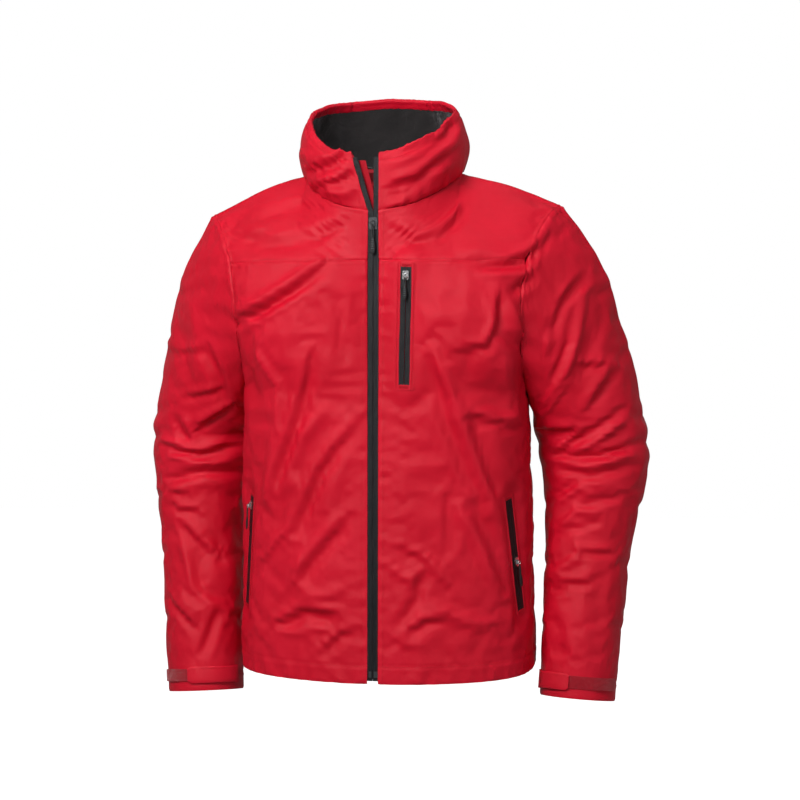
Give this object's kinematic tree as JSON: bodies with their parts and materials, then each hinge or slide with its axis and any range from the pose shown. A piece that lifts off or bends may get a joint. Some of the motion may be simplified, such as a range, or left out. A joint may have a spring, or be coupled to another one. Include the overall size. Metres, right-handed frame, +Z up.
{
  "type": "foul weather jacket",
  "caption": "Hip-length foul weather jacket with stand-up collar, full front zip, zipped chest and hand pockets, hook-and-loop cuff tabs and a fleece collar lining.",
  "frame": {"origin": "top of the hanger loop inside the back of the neck, which holds the jacket up", "axes": "+Z up, -Y out of the front (the zip side), +X towards the wearer's left sleeve"},
  "size_m": [0.7246, 0.2894, 0.8747],
  "materials": {
    "shell_fabric": "matte woven softshell",
    "collar_fleece": "brushed fleece",
    "body_lining": "knitted mesh",
    "pocket_lining": "tricot",
    "zip_tape": "coated satin tape",
    "zip_coil": "moulded nylon coil",
    "dark_metal": "dark plated",
    "bright_metal": "nickel plated",
    "rubber_pull": "soft moulded",
    "loop_tape": "loop pile",
    "hook_tape": "moulded hooks",
    "webbing": "woven tape"
  },
  "bodies": {
    "torso": {"back_panel": "shell_fabric", "back_yoke": "shell_fabric", "back_lining": "body_lining", "left_side_panel": "shell_fabric", "right_side_panel": "shell_fabric", "left_side_lining": "body_lining", "right_side_lining": "body_lining", "back_collar": "shell_fabric", "back_collar_lining": "collar_fleece", "hanger_loop": "webbing", "left_hand_pocket_zip_tape": "zip_tape", "right_hand_pocket_zip_tape": "zip_tape", "left_hand_pocket_bag": "pocket_lining", "right_hand_pocket_bag": "pocket_lining"},
    "left_front": {"left_front_panel": "shell_fabric", "left_front_yoke": "shell_fabric", "left_front_lining": "body_lining", "left_collar_front": "shell_fabric", "left_collar_front_lining": "collar_fleece", "left_zip_tape": "zip_tape", "left_zip_coil": "zip_coil", "chest_pocket_zip_tape": "zip_tape", "chest_pocket_bag": "pocket_lining", "zip_retainer_box": "bright_metal"},
    "right_front": {"right_front_panel": "shell_fabric", "right_front_yoke": "shell_fabric", "right_front_lining": "body_lining", "right_collar_front": "shell_fabric", "right_collar_front_lining": "collar_fleece", "right_zip_tape": "zip_tape", "right_zip_coil": "zip_coil", "storm_placket": "pocket_lining", "zip_insertion_pin": "bright_metal"},
    "main_zip_slider_body": {"main_zip_slider": "dark_metal"},
    "main_zip_pull_body": {"main_zip_pull": "rubber_pull"},
    "chest_slider_body": {"chest_pocket_slider": "bright_metal"},
    "chest_pull_body": {"chest_pocket_pull": "rubber_pull"},
    "left_hand_slider_body": {"left_hand_pocket_slider": "bright_metal"},
    "left_hand_pull_body": {"left_hand_pocket_pull": "rubber_pull"},
    "right_hand_slider_body": {"right_hand_pocket_slider": "bright_metal"},
    "right_hand_pull_body": {"right_hand_pocket_pull": "rubber_pull"},
    "left_arm": {"left_upper_sleeve": "shell_fabric", "left_upper_sleeve_lining": "body_lining"},
    "left_forearm": {"left_lower_sleeve": "shell_fabric", "left_lower_sleeve_lining": "body_lining", "left_cuff_loop_patch": "loop_tape"},
    "left_cuff_tab_body": {"left_cuff_tab": "shell_fabric", "left_cuff_hook_patch": "hook_tape"},
    "right_arm": {"right_upper_sleeve": "shell_fabric", "right_upper_sleeve_lining": "body_lining"},
    "right_forearm": {"right_lower_sleeve": "shell_fabric", "right_lower_sleeve_lining": "body_lining", "right_cuff_loop_patch": "loop_tape"},
    "right_cuff_tab_body": {"right_cuff_tab": "shell_fabric", "right_cuff_hook_patch": "hook_tape"}
  },
  "joints": [
    {"name": "left_front_opens", "type": "hinge", "parent": "torso", "child": "left_front", "pos_m": [0.165, -0.1875, -0.3], "axis": [0, 0, 1], "range_deg": [0, 60]},
    {"name": "right_front_opens", "type": "hinge", "parent": "torso", "child": "right_front", "pos_m": [-0.165, -0.1875, -0.3], "axis": [0, 0, -1], "range_deg": [0, 60], "deforming": ["right_zip_tape", "right_zip_coil", "storm_placket"]},
    {"name": "main_zip_slider_slides", "type": "slide", "parent": "left_front", "child": "main_zip_slider_body", "axis": [0, 0.0685, 0.9976], "range_m": [-0.61, 0.07]},
    {"name": "main_zip_pull_swings", "type": "hinge", "parent": "main_zip_slider_body", "child": "main_zip_pull_body", "pos_m": [0, -0.17649, -0.06063], "axis": [-1, 0, 0], "range_deg": [0, 150]},
    {"name": "chest_pocket_slider_slides", "type": "slide", "parent": "left_front", "child": "chest_slider_body", "axis": [-0.0244, -0.032, -0.9992], "range_m": [0, 0.138]},
    {"name": "chest_pocket_pull_swings", "type": "hinge", "parent": "chest_slider_body", "child": "chest_pull_body", "pos_m": [0.04834, -0.19978, -0.1346], "axis": [-0.992, 0.125, 0.0202], "range_deg": [0, 150]},
    {"name": "left_hand_pocket_slider_slides", "type": "slide", "parent": "torso", "child": "left_hand_slider_body", "axis": [0.0915, 0.1253, -0.9879], "range_m": [-0.08, 0.062]},
    {"name": "left_hand_pocket_pull_swings", "type": "hinge", "parent": "left_hand_slider_body", "child": "left_hand_pull_body", "pos_m": [0.19923, -0.13622, -0.54375], "axis": [-0.4784, -0.8645, -0.154], "range_deg": [0, 150]},
    {"name": "right_hand_pocket_slider_slides", "type": "slide", "parent": "torso", "child": "right_hand_slider_body", "axis": [-0.0915, 0.1253, -0.9879], "range_m": [0, 0.138]},
    {"name": "right_hand_pocket_pull_swings", "type": "hinge", "parent": "right_hand_slider_body", "child": "right_hand_pull_body", "pos_m": [-0.19209, -0.146, -0.46669], "axis": [-0.4784, 0.8645, 0.154], "range_deg": [0, 150]},
    {"name": "left_sleeve_raises", "type": "hinge", "parent": "torso", "child": "left_arm", "pos_m": [0.256, -0.07, -0.043], "axis": [0, -1, 0], "range_deg": [0, 55]},
    {"name": "left_elbow_bends", "type": "hinge", "parent": "left_arm", "child": "left_forearm", "pos_m": [0.285, -0.08202, -0.37436], "axis": [-1, 0, 0], "range_deg": [0, 90]},
    {"name": "left_cuff_tab_peels", "type": "hinge", "parent": "left_forearm", "child": "left_cuff_tab_body", "pos_m": [0.21784, -0.09395, -0.71364], "axis": [-0.0587, -0.1958, -0.9789], "range_deg": [0, 60]},
    {"name": "right_sleeve_raises", "type": "hinge", "parent": "torso", "child": "right_arm", "pos_m": [-0.256, -0.07, -0.043], "axis": [0, 1, 0], "range_deg": [0, 55]},
    {"name": "right_elbow_bends", "type": "hinge", "parent": "right_arm", "child": "right_forearm", "pos_m": [-0.285, -0.08202, -0.37436], "axis": [-1, 0, 0], "range_deg": [0, 90]},
    {"name": "right_cuff_tab_peels", "type": "hinge", "parent": "right_forearm", "child": "right_cuff_tab_body", "pos_m": [-0.21784, -0.09395, -0.71364], "axis": [-0.0587, 0.1958, 0.9789], "range_deg": [0, 60]}
  ]
}
